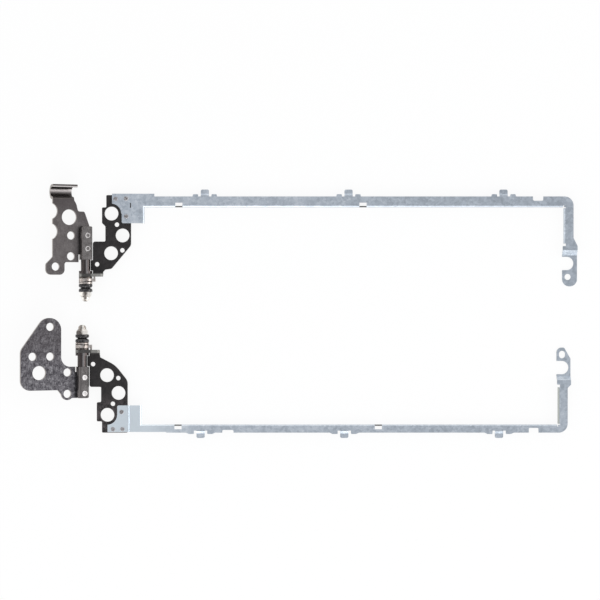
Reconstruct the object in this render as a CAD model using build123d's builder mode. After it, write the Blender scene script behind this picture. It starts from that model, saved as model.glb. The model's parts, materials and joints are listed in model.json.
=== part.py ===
from build123d import *
from math import cos, hypot, radians, sin, sqrt
import os

# A pair of laptop hinges, lying on a table with the screen side up and swung open.
# Each hinge is measured from its own axis and ear:
#   u  along the rail, away from the hinge axis
#   a  out over the base bracket, away from the hinge axis
#   s  along the hinge axis, from the ear's nut side towards the shaft's head
# The left hinge runs its s towards +Y, the right hinge towards -Y.
LEFT = 1
RIGHT = -1
TO_HEAD = 1
TO_NUT = -1

# The pair as it lies
ear_gap = 32.4
axis_stagger = 1.5
lean = 26

# Sheet thicknesses
base_sheet = 1.2
plate_sheet = 1.3
rail_sheet = 0.6

# Clearances
running_clearance = 0.05
face_gap = 0.05
rivet_play = 0.02
swing_gap = 0.15

# Heights: the rails stand on their flanges
flange_height = 2.8
axis_rise = 0.7
base_drop = 1.4

# Shaft and friction stack
washer_radius = 3.0
journal_radius = 1.8
key_flat = 1.3
thread_radius = 1.75
neck_radius = 2.1
collar_length = 1.2
friction_washer_length = 0.85
tabbed_washer_length = 1.4
keyed_washer_length = 0.95
spring_sheet = 1.5
spring_cone = 0.4
spring_edge = 0.35
spring_rim_radius = 3.05
spring_bore_clearance = 0.1
nut_length = 2.3
nut_flats = 4.8
nut_chamfer = 0.3
nut_crown_width = 0.85
nut_crown_length = 1.1
thread_stub = 1.9
stub_round = 1.4
washer_edge = 0.15

# Tab that keys the friction washer to the ear
tab_reach = 4.4
tab_half_height = 1.0
prong_width = 0.8
prong_height = 0.9
prong_length = 1.0
slit_width = 2.4
slit_depth = 0.35
slit_offset = 1.2

# Flattened head of the shaft
head_start = 7.5
left_head_end = 22.3
right_head_end = 21.4
head_radius = 2.75
head_offset = 0.25
left_head_top = 1.7
right_head_top = 2.3
head_chamfer = 0.4
shaft_rivet_head = 2.4
shaft_rivet_head_height = 0.3
shaft_rivet_edge = 0.15
shaft_rivet_shank = 1.5
left_rivet_offset = 0.4
right_rivet_offset = 0.4
left_shaft_rivets = (12.4, 18.3)
right_shaft_rivets = (12.2, 19.3)

# Base brackets, common measures
base_screw_hole = 3.6
under_reach = 1.9
tail_reach = 2.4
tail_start = 17.3
relief_width = 0.7
relief_depth = 2.35
relief_inset = 0.4
base_corner = 1.0

# Left base bracket and its cable gutter
left_base_reach = 14.7
left_base_near = 6.4
left_shoulder = 28.9
left_waist = 3.0
left_flare = (3.75, 32.0)
left_foot_reach = 17.9
left_foot_near = 0.8
left_foot_inner = 9.3
left_foot_top = 5.5
left_foot_round = 2.3
left_bite_radius = 3.7
left_bites = ((16.2, 28.9), (16.2, 19.9))
left_boss_spot = (7.1, 26.3)
left_boss_hole = 6.9
left_base_screws = ((6.3, 18.2), (6.35, 9.0), (13.45, 4.4))
gutter_start = 33.9
gutter_inner_radius = 2.1
gutter_bend = 0.3
gutter_end = 4.8
gutter_lip_length = 1.6

# Right base bracket
right_base_reach = 28.0
right_base_near = 7.5
right_base_far = 17.8
right_lobe_near = 14.1
right_lobe_inner = 9.3
right_lobe_outer = 17.5
right_lobe_round = 5.2
right_lobe_fillet = 4.3
right_side_end = 0.2
right_corner_round = 4.5
right_tail_far = 21.4
right_ear_spot = (6.4, 19.5)
right_ear_radius = 2.75
right_ear_slope = (7.8, 10.8)
right_boss_spot = (19.5, 10.1)
right_boss_hole = 6.2
right_base_screws = ((14.4, -10.2), (22.55, 2.9), (14.4, 2.9), (6.4, 10.0))

# Display brackets, common measures
plate_right = 20.05
tongue_round = 0.3
ear_reach = 7.7
ear_top = 2.1
ear_round = 1.4
ear_bend = 0.8
fold_overlap = 0.1
boss_hole = 6.1
pin_hole = 2.0
boss_row = ((11.4, 17.6), (16.3, 7.9), (11.2, 0))
pin_row = ((13.8, 12.7), (16.2, 1.3), (5.0, -4.9))
plate_corner = 1.0

# Outlines that differ between the two display brackets, each front corner with its rounding
left_hole_start = 10.4
left_plate_far = 36.2
left_plate_tab = 9.1
left_plate_step = 7.2
left_plate_notch = 8.7
left_step_slope = 1.5
left_notch_start = 15.6
left_notch_end = 22.3
left_step_end = 30.75
left_front = ((8.6, 3.1, 0.6), (11.4, 3.5, 1.5))
left_front_end = 13.9
left_front_round = 2.5
right_hole_start = 11.3
right_hole_inset = 0.3
right_plate_far = 36.8
right_plate_tab = 8.7
right_plate_step = 6.4
right_plate_notch = 8.3
right_step_slope = 0.2
right_notch_start = 16.5
right_notch_end = 23.2
right_step_end = 31.8
right_front = ((7.9, 3.4, 0.4), (14.6, 6.9, 12))
right_front_end = 13.8
right_front_round = 4

# Rails, common measures
flange_bend = 0.2
joggle_bend = 0.5
pad_gap = 0.3
boss_land = 1.3
pad_slot_width = 0.5
pad_slot_length = 2.2
corner_relief = 0.4
clip_width = 3.65
clip_drop = 0.8
clip_run = 0.65
clip_round = 0.7
clip_ear_spacing = 4.1
clip_ear_width = 2.3
clip_ear_round = 0.4
window_length = 3.2
window_width = 2.0
window_sill = 1.0
notch_round = 0.6
arm_width = 4.2
rail_corner = 4.0
rail_rivet_head = 2.0
rail_rivet_head_height = 0.35
rail_rivet_edge = 0.2
rail_rivet_shank = 1.2

# Left rail
left_rail_edge = 35.6
left_rail_width = 4.75
left_joggle_run = 3.0
left_clip_spots = (52.8, 116.6, 185.4)
left_clip_ear = (1.0, 0.2)
left_clip_notch = 0
left_clip_root = 0.5
left_clip_length = 3.1
left_pad_corner = 11.7
left_pad_edge = 16.0
left_pad_near = 23.7
left_pad_far = 36.8
left_pad_right = 25.9
left_stub_end = 30.4
left_windows = (41.3, 123.0)
left_notches = ((200.7, 4.6, 1.9),)
left_arm_outer = 216.4
left_arm_flange_end = 14.7
left_hook_start = 11.7
left_hook_run = 2.0
left_hook_end = -4.3
left_hook_step = 1.8
left_hook_width = 6.6
left_hook_shoulder = 13.6
left_hook_round = 3.2
left_hook_slot = 5.9
left_hook_slot_depth = 5.0
left_hook_hole = -0.1
left_rail_rivets = ((13.3, 34.5), (17.9, 34.6), (18.0, 26.7))
left_pad_slot = (19.9, 31.6)

# Right rail
right_rail_edge = 36.8
right_rail_width = 3.5
right_joggle_run = 0.4
right_clip_spots = (52.4, 116.2, 184.9)
right_clip_ear = (0.6, 1.2)
right_clip_notch = 0.9
right_clip_root = -0.5
right_clip_length = 2.4
right_pad_corner = 11.2
right_pad_edge = 15.5
right_pad_near = 24.7
right_pad_far = 36.5
right_pad_right = 26.1
right_stub_end = 37.2
right_windows = (42.4, 131.3)
right_notches = ((64.55, 5.0, 1.2), (200.2, 4.3, 2.2))
right_arm_outer = 215.3
right_arm_flange_end = 16.7
right_hook_start = 13.5
right_hook_run = 1.6
right_hook_end = -0.9
right_hook_step = 1.5
right_hook_width = 6.2
right_hook_shoulder = 15.5
right_hook_round = 2.2
right_hook_slot = 8.0
right_hook_slot_depth = 5.3
right_hook_taper = 2.8
right_hook_taper_start = 4.0
right_hook_hole = 2.2
right_rail_rivets = ((17.4, 27.6), (13.6, 35.2), (17.8, 35.2))

hook_slot_radius = 2.95
hook_hole = 2.7
hook_hole_inset = 2.45
hook_oval = 3.3

# Places worked out from the sizes above
plate_top = flange_height
plate_bottom = plate_top - plate_sheet
axis_height = plate_top + axis_rise
rail_middle = flange_height - rail_sheet / 2
pad_middle = plate_top + rail_sheet / 2
flange_radius = flange_bend + rail_sheet
relief_start = head_radius - head_offset - relief_inset
rivet_sweep = max(
    hypot(abs(offset) + shaft_rivet_head / 2, top + shaft_rivet_head_height)
    for offset, top in ((left_rivet_offset, left_head_top), (right_rivet_offset, right_head_top))
)
swing_radius = max(rivet_sweep, washer_radius, head_offset + head_radius) + swing_gap
plate_edge = sqrt(swing_radius**2 - axis_rise**2)
tongue_edge = sqrt((neck_radius + swing_gap) ** 2 - axis_rise**2)
friction_washer_end = -friction_washer_length
tabbed_washer_end = friction_washer_end - tabbed_washer_length
keyed_washer_start = tabbed_washer_end - face_gap
keyed_washer_end = keyed_washer_start - keyed_washer_length
spring_bore = journal_radius + spring_bore_clearance
spring_face = hypot(spring_rim_radius - spring_bore, spring_cone)
spring_height = spring_sheet + spring_cone * (1 - spring_edge / spring_face)
spring_middle = keyed_washer_end - spring_height
nut_start = spring_middle - spring_height
nut_end = nut_start - nut_length
shaft_end = nut_end - thread_stub
collar_start = plate_sheet + face_gap
tongue_start = collar_start + collar_length + swing_gap
tongue_end = head_start - swing_gap
prong_spot = tab_reach - prong_width / 2
left_hook_outer = left_arm_outer + left_hook_step
left_hook_inner = left_hook_outer - left_hook_width
right_hook_outer = right_arm_outer + right_hook_step
right_hook_inner = right_hook_outer - right_hook_width


def axis_x(hand):
    """Where a hinge's axis stands: the right one is set back from the left one."""
    if hand == LEFT:
        return 0
    return -axis_stagger


def across(hand, s):
    """The Y of a place s along the hinge axis."""
    return hand * (ear_gap / 2 + s)


def spot(hand, u, s):
    """A point of the plan, u along the rail and s along the axis."""
    return (axis_x(hand) + u, across(hand, s))


def leaf_spot(hand, a, s):
    """A point of the base bracket's plane, a out from the axis and s along it."""
    return (-a, across(hand, s))


def leaf(hand, rise):
    """The plane of a base bracket, swung up about the axis, with a rise along its normal."""
    turn = radians(lean)
    origin = (axis_x(hand), 0, axis_height)
    swung = Plane(origin=origin, x_dir=(cos(turn), 0, -sin(turn)), z_dir=(sin(turn), 0, cos(turn)))
    return swung.offset(rise)


def section(hand, s, swing):
    """A plane square to the axis at s, with u across and up along it, swung by an angle."""
    turn = radians(swing)
    origin = (axis_x(hand), across(hand, s), axis_height)
    return Plane(origin=origin, x_dir=(cos(turn), 0, -sin(turn)), z_dir=(0, -1, 0))


def rail_side(hand, s):
    """A plane square to the axis at s, standing on the table, with u across and height up."""
    return Plane(origin=(axis_x(hand), across(hand, s), 0), x_dir=(1, 0, 0), z_dir=(0, -1, 0))


def rail_end(hand, u):
    """A plane square to the rail at u, standing on the table, with s across and height up."""
    origin = (axis_x(hand) + u, across(hand, 0), 0)
    return Plane(origin=origin, x_dir=(0, hand, 0), z_dir=(hand, 0, 0))


def axis_plane(hand):
    """The level plane through the axis, for profiles that are turned about it."""
    return Plane(origin=(axis_x(hand), 0, axis_height))


def turning_axis(hand):
    """The hinge axis itself."""
    return Axis((axis_x(hand), 0, axis_height), (0, 1, 0))


def towards_head(hand, length):
    """The extrusion that runs a length towards the shaft's head from a section plane."""
    return -hand * length


def patch(hand, u, s, mode=Mode.ADD):
    """A rectangle of sheet in plan, between two places along the rail and two along the axis."""
    x, y = spot(hand, (u[0] + u[1]) / 2, (s[0] + s[1]) / 2)
    with Locations((x, y)):
        Rectangle(abs(u[1] - u[0]), abs(s[1] - s[0]), mode=mode)


def row(start, inset, places):
    """A row of holes along the axis, from where it starts, set in towards the axis."""
    return [(u - inset, start + s) for u, s in places]


def holes(places, diameter):
    """A round hole at each place of a plan."""
    with Locations(*places):
        Circle(diameter / 2, mode=Mode.SUBTRACT)


def bent_sheet(plane, path, bends, sheet):
    """A bent sheet seen edge on: its middle line, rounded at each bend, given its thickness."""
    with BuildSketch(plane) as profile:
        with BuildLine():
            FilletPolyline(*path, radius=bends)
        trace(line_width=sheet)
    return profile.sketch


def left_base_bracket():
    """Stamped plate with a screw foot, two bites in its edge and a rolled cable gutter."""
    outline = (
        (left_base_reach, gutter_start, 0),
        (gutter_end, gutter_start, 0),
        (*left_flare, base_corner),
        (left_waist, left_shoulder, base_corner),
        (0, left_shoulder, base_corner),
        (-tail_reach, left_head_end, base_corner / 2),
        (-tail_reach, tail_start, 0),
        (-under_reach, tail_start, 0),
        (-under_reach, head_start, 0),
        (relief_start, head_start, 0),
        (relief_start, head_start + relief_depth, 0),
        (relief_start + relief_width, head_start + relief_depth, 0),
        (relief_start + relief_width, left_base_near, 0),
        (left_foot_inner, left_base_near, base_corner),
        (left_foot_inner, left_foot_near, left_foot_round),
        (left_foot_reach, left_foot_near, left_foot_round),
        (left_foot_reach, left_foot_top, base_corner),
        (left_base_reach, left_foot_top + left_foot_reach - left_base_reach, base_corner),
    )
    bend = gutter_bend + base_sheet / 2
    roll = gutter_inner_radius + base_sheet / 2
    middle = -base_drop - base_sheet / 2
    near_wall = gutter_start + bend
    far_wall = near_wall + 2 * roll
    trough = middle - bend - roll
    path = (
        (gutter_start - base_sheet, middle),
        (near_wall, middle),
        (near_wall, trough),
        (far_wall, trough),
        (far_wall, -base_drop),
    )
    gutter_plane = Plane(
        origin=leaf(LEFT, 0).from_local_coords((-left_base_reach, across(LEFT, 0), 0)),
        x_dir=(0, 1, 0),
        z_dir=leaf(LEFT, 0).x_dir,
    )
    gutter_length = left_base_reach - gutter_end
    with BuildPart() as base_bracket:
        with BuildSketch(leaf(LEFT, -base_drop - base_sheet)):
            with BuildLine():
                corners = [leaf_spot(LEFT, a, s) for a, s, _ in outline]
                FilletPolyline(*corners, radius=[r for _, _, r in outline], close=True)
            make_face()
            holes([leaf_spot(LEFT, a, s) for a, s in left_bites], 2 * left_bite_radius)
            holes([leaf_spot(LEFT, *left_boss_spot)], left_boss_hole)
            holes([leaf_spot(LEFT, a, s) for a, s in left_base_screws], base_screw_hole)
            holes([leaf_spot(LEFT, -left_rivet_offset, s) for s in left_shaft_rivets], shaft_rivet_shank)
        extrude(amount=base_sheet)
        extrude(bent_sheet(gutter_plane, path, (bend, roll, roll), base_sheet), amount=gutter_length)
        with BuildSketch(gutter_plane.offset(gutter_length)):
            with Locations((far_wall, -base_drop - (bend + base_sheet / 2) / 2)):
                Rectangle(base_sheet, bend + base_sheet / 2)
        extrude(amount=gutter_lip_length)
    return base_bracket.part


def right_base_bracket():
    """Broad stamped plate with a lobe for one screw and a rounded ear for another."""
    outline = (
        (right_lobe_inner, -right_lobe_near, right_lobe_round),
        (right_lobe_inner, right_base_near, right_lobe_fillet),
        (relief_start + relief_width, right_base_near, 0),
        (relief_start + relief_width, head_start + relief_depth, 0),
        (relief_start, head_start + relief_depth, 0),
        (relief_start, head_start, 0),
        (-under_reach, head_start, 0),
        (-under_reach, tail_start, 0),
        (-tail_reach, tail_start, 0),
        (-tail_reach, right_tail_far, base_corner / 2),
        (right_ear_slope[0], right_tail_far, base_corner / 2),
        (right_ear_slope[1], right_base_far, base_corner),
        (right_base_reach, right_base_far, right_corner_round),
        (right_base_reach, right_side_end, right_corner_round),
        (right_lobe_outer, -right_lobe_near, right_lobe_round),
    )
    with BuildPart() as base_bracket:
        with BuildSketch(leaf(RIGHT, -base_drop - base_sheet)):
            with BuildLine():
                corners = [leaf_spot(RIGHT, a, s) for a, s, _ in outline]
                FilletPolyline(*corners, radius=[r for _, _, r in outline], close=True)
            make_face()
            with Locations(leaf_spot(RIGHT, *right_ear_spot)):
                Circle(right_ear_radius)
            holes([leaf_spot(RIGHT, *right_boss_spot)], right_boss_hole)
            holes([leaf_spot(RIGHT, *right_ear_spot)], base_screw_hole)
            holes([leaf_spot(RIGHT, a, s) for a, s in right_base_screws], base_screw_hole)
            holes([leaf_spot(RIGHT, -right_rivet_offset, s) for s in right_shaft_rivets], shaft_rivet_shank)
        extrude(amount=base_sheet)
    return base_bracket.part


def shaft(hand, head_end, head_top, rivet_offset, rivets):
    """Turned shaft with a flattened head, a collar, key flats and a rounded threaded end."""
    turned = (
        (0, head_start),
        (neck_radius, head_start),
        (neck_radius, collar_start + collar_length),
        (washer_radius, collar_start + collar_length),
        (washer_radius, collar_start),
        (journal_radius, collar_start),
        (journal_radius, nut_start),
        (thread_radius, nut_start),
        (thread_radius, shaft_end),
        (0, shaft_end),
    )
    with BuildPart() as pivot:
        with BuildSketch(axis_plane(hand)):
            with BuildLine():
                Polyline(*[(r, across(hand, s)) for r, s in turned], close=True)
            make_face()
        revolve(axis=turning_axis(hand))
        end_edge = pivot.edges().filter_by(GeomType.CIRCLE).sort_by(Axis.Y, reverse=hand < 0)[0]
        fillet(end_edge, stub_round)
        with BuildSketch(section(hand, keyed_washer_start, lean)):
            Circle(journal_radius)
            Rectangle(2 * journal_radius, 2 * key_flat, mode=Mode.SUBTRACT)
        extrude(amount=towards_head(hand, nut_start - keyed_washer_start), mode=Mode.SUBTRACT)
        with BuildSketch(section(hand, head_start, lean)):
            with Locations((head_offset, 0)):
                Circle(head_radius)
            with Locations((head_offset, (head_top - base_drop) / 2)):
                Rectangle(2 * head_radius, head_top + base_drop, mode=Mode.INTERSECT)
        extrude(amount=towards_head(hand, head_end - head_start))
        tail_face = pivot.faces().sort_by(Axis.Y, reverse=hand > 0)[0]
        chamfer(tail_face.edges(), head_chamfer)
        with BuildSketch(leaf(hand, -base_drop)):
            with Locations(*[leaf_spot(hand, -rivet_offset, s) for s in rivets]):
                Circle(shaft_rivet_shank / 2)
        extrude(amount=base_drop + head_top, mode=Mode.SUBTRACT)
    return pivot.part


def shaft_rivets(hand, head_top, rivet_offset, rivets):
    """Two solid rivets through the shaft's head and the base bracket, headed at both ends."""
    places = [leaf_spot(hand, -rivet_offset, s) for s in rivets]
    grip = base_sheet + base_drop + head_top
    bottom = -base_drop - base_sheet
    with BuildPart() as pair:
        with BuildSketch(leaf(hand, bottom)):
            with Locations(*places):
                Circle(shaft_rivet_shank / 2 - rivet_play)
        extrude(amount=grip)
        with BuildSketch(leaf(hand, head_top)):
            with Locations(*places):
                Circle(shaft_rivet_head / 2)
        extrude(amount=shaft_rivet_head_height)
        with BuildSketch(leaf(hand, bottom)):
            with Locations(*places):
                Circle(shaft_rivet_head / 2)
        extrude(amount=-shaft_rivet_head_height)
        rims = pair.edges().filter_by(GeomType.CIRCLE).group_by(SortBy.RADIUS)[-1]
        outer_rims = rims.sort_by(Axis(leaf(hand, 0).origin, leaf(hand, 0).z_dir))
        count = len(rivets)
        chamfer(outer_rims[:count] + outer_rims[-count:], shaft_rivet_edge)
    return pair.part


def display_bracket(hand, outline, hole_start, hole_inset, rivets):
    """Stamped black plate with an ear folded up at its end, which carries the shaft."""
    ear_fold = ear_bend + plate_sheet / 2
    ear_start = ear_bend + plate_sheet
    middle = plate_top - plate_sheet / 2
    fold_top = plate_bottom + ear_start
    path = (
        (ear_start + plate_sheet, middle),
        (plate_sheet / 2, middle),
        (plate_sheet / 2, fold_top + fold_overlap),
    )
    bore = journal_radius + running_clearance
    with BuildPart() as bracket:
        with BuildSketch(Plane.XY.offset(plate_bottom)):
            with BuildLine():
                corners = [spot(hand, u, s) for u, s, _ in outline]
                FilletPolyline(*corners, radius=[r for _, _, r in outline], close=True)
            make_face()
            holes([spot(hand, u, s) for u, s in row(hole_start, hole_inset, boss_row)], boss_hole)
            holes([spot(hand, u, s) for u, s in row(hole_start, hole_inset, pin_row)], pin_hole)
            holes([spot(hand, u, s) for u, s in rivets], rail_rivet_shank)
        extrude(amount=plate_sheet)
        fold = bent_sheet(rail_end(hand, plate_edge), path, (ear_fold,), plate_sheet)
        extrude(fold, amount=hand * (ear_reach - plate_edge))
        with BuildSketch(section(hand, 0, 0)) as ear:
            web_bottom = fold_top - axis_height
            with BuildLine():
                FilletPolyline(
                    (0, web_bottom),
                    (ear_reach, web_bottom),
                    (ear_reach, ear_top),
                    (0, washer_radius),
                    radius=(0, 0, ear_round, 0),
                    close=True,
                )
            make_face()
            Circle(washer_radius)
            Circle(bore, mode=Mode.SUBTRACT)
            with Locations((prong_spot, prong_height)):
                Rectangle(
                    prong_width + 2 * running_clearance,
                    prong_height + 2 * running_clearance,
                    mode=Mode.SUBTRACT,
                )
        extrude(amount=towards_head(hand, plate_sheet))
    return bracket.part


def plate_outline(
    far, tab, step, step_slope, notch, notch_start, notch_end, step_end, front, front_end, front_round
):
    """Corners of a display bracket's plate with their roundings, from its ear round to the neck."""
    ear_start = ear_bend + plate_sheet
    return (
        (plate_edge, ear_start, 0),
        (ear_reach, ear_start, 0),
        *front,
        (plate_right, front_end, front_round),
        (plate_right, far, plate_corner / 2),
        (tab, far, plate_corner / 2),
        (tab, step_end, plate_corner / 2),
        (step, step_end, plate_corner / 2),
        (step, notch_end + step_slope, plate_corner / 2),
        (notch, notch_end, plate_corner / 2),
        (notch, notch_start, plate_corner / 2),
        (plate_edge, notch_start, plate_corner),
        (plate_edge, tongue_end, 0),
        (tongue_edge, tongue_end, tongue_round),
        (tongue_edge, tongue_start, tongue_round),
        (plate_edge, tongue_start, 0),
    )


def friction_washer(hand):
    """Plain washer between the ear and the tabbed washer."""
    with BuildPart() as washer:
        with BuildSketch(section(hand, friction_washer_end, 0)):
            Circle(washer_radius)
            Circle(journal_radius + running_clearance, mode=Mode.SUBTRACT)
        extrude(amount=towards_head(hand, friction_washer_length))
        rims = washer.edges().filter_by(GeomType.CIRCLE).group_by(SortBy.RADIUS)[-1]
        chamfer(rims, washer_edge)
    return washer.part


def tabbed_washer(hand):
    """Washer with a tab that hooks the ear past the friction washer, and a detent in its free face."""
    with BuildPart() as washer:
        with BuildSketch(section(hand, tabbed_washer_end, 0)):
            Circle(washer_radius)
            with Locations((tab_reach / 2, prong_height / 2)):
                Rectangle(tab_reach, 2 * tab_half_height)
            Circle(journal_radius + running_clearance, mode=Mode.SUBTRACT)
        extrude(amount=towards_head(hand, tabbed_washer_length))
        with BuildSketch(section(hand, friction_washer_end, 0)):
            with Locations((prong_spot, prong_height)):
                Rectangle(prong_width, prong_height)
        extrude(amount=towards_head(hand, friction_washer_length + prong_length))
        detent_radius = (slit_width**2 / 4 + slit_depth**2) / (2 * slit_depth)
        centre = tabbed_washer_end + slit_depth - detent_radius
        with BuildSketch(axis_plane(hand)):
            with Locations((slit_offset, across(hand, centre))):
                Circle(detent_radius)
        extrude(amount=tab_reach, mode=Mode.SUBTRACT)
    return washer.part


def keyed_washer(hand):
    """Washer that turns with the flats of the shaft."""
    with BuildPart() as washer:
        with BuildSketch(section(hand, keyed_washer_end, lean)):
            Circle(washer_radius)
            with BuildSketch(mode=Mode.SUBTRACT):
                Circle(journal_radius + running_clearance)
                half = key_flat + running_clearance
                Rectangle(2 * washer_radius, 2 * half, mode=Mode.INTERSECT)
        extrude(amount=towards_head(hand, keyed_washer_length))
        rims = washer.edges().filter_by(GeomType.CIRCLE).group_by(SortBy.RADIUS)[-1]
        chamfer(rims, washer_edge)
    return washer.part


def disc_spring(hand, facing):
    """Conical spring washer, turned from its slanted section, with its rim facing one way."""
    rim_middle = spring_middle + facing * spring_cone
    corners = (
        (spring_bore, spring_middle),
        (spring_bore, spring_middle + facing * spring_sheet),
        (spring_rim_radius, rim_middle + facing * spring_sheet),
        (spring_rim_radius, rim_middle),
    )
    with BuildPart() as spring:
        with BuildSketch(axis_plane(hand)) as cut:
            with BuildLine():
                Polyline(*[(r, across(hand, s)) for r, s in corners], close=True)
            make_face()
            chamfer(cut.vertices().sort_by(Axis.X)[-2:], spring_edge)
        revolve(axis=turning_axis(hand))
    return spring.part


def nut(hand):
    """Hexagon nut, crowned towards the shaft's end, which loads the springs."""
    corner = nut_flats / sqrt(3)
    with BuildPart() as hexagon:
        with BuildSketch(section(hand, nut_end, lean)):
            RegularPolygon(nut_flats / 2, 6, major_radius=False)
            Circle(thread_radius + rivet_play, mode=Mode.SUBTRACT)
        extrude(amount=towards_head(hand, nut_length))
        turned = (
            (0, nut_start),
            (corner - nut_chamfer, nut_start),
            (corner, nut_start - nut_chamfer / 2),
            (corner, nut_end + nut_crown_length),
            (corner - nut_crown_width, nut_end),
            (0, nut_end),
        )
        with BuildSketch(axis_plane(hand)):
            with BuildLine():
                Polyline(*[(r, across(hand, s)) for r, s in turned], close=True)
            make_face()
        revolve(axis=turning_axis(hand), mode=Mode.INTERSECT)
    return hexagon.part


def rail_rivets(hand, rivets):
    """Three small rivets through the rail's pad and the display bracket."""
    places = [spot(hand, u, s) for u, s in rivets]
    grip = plate_sheet + rail_sheet
    with BuildPart() as three:
        with BuildSketch(Plane.XY.offset(plate_bottom)):
            with Locations(*places):
                Circle(rail_rivet_shank / 2 - rivet_play)
        extrude(amount=grip)
        with BuildSketch(Plane.XY.offset(plate_bottom + grip)):
            with Locations(*places):
                Circle(rail_rivet_head / 2)
        extrude(amount=rail_rivet_head_height)
        with BuildSketch(Plane.XY.offset(plate_bottom)):
            with Locations(*places):
                Circle(rail_rivet_head / 2)
        extrude(amount=-rail_rivet_head_height)
        rims = three.edges().filter_by(GeomType.CIRCLE).group_by(Axis.Z)
        chamfer(rims[0] + rims[-1], rail_rivet_edge)
    return three.part


def clip_tab(hand, u, edge, notch, root, length):
    """Clip that steps down at the rail's outer edge, from a flat root, with rounded corners."""
    low = rail_middle - clip_drop
    path = (
        (edge - notch - rail_sheet, rail_middle),
        (edge + root, rail_middle),
        (edge + root + clip_run, low),
        (edge + length, low),
    )
    with BuildPart() as clip:
        extrude(
            bent_sheet(rail_end(hand, u - clip_width / 2), path, joggle_bend, rail_sheet),
            amount=hand * clip_width,
        )
        with BuildSketch(Plane.XY):
            with Locations(spot(hand, u, edge + (length - clip_width) / 2)):
                RectangleRounded(clip_width, length + clip_width, clip_round)
        extrude(amount=flange_height, mode=Mode.INTERSECT)
    return clip.part


def clip_ear(hand, u, outward, edge, size):
    """Small ear beside a clip, upright towards the clip and ramped away from it."""
    length, ramp = size
    near = u - outward * clip_ear_width / 2
    far = u + outward * clip_ear_width / 2
    low = edge - rail_sheet / 2
    high = edge + length
    ramp_end = far + outward * ramp
    corners = ((near, low), (near, high), (far, high), (ramp_end, edge), (ramp_end, low))
    Polygon(*[spot(hand, *corner) for corner in corners], align=None)
    return [spot(hand, near, high), spot(hand, far, high)]


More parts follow.
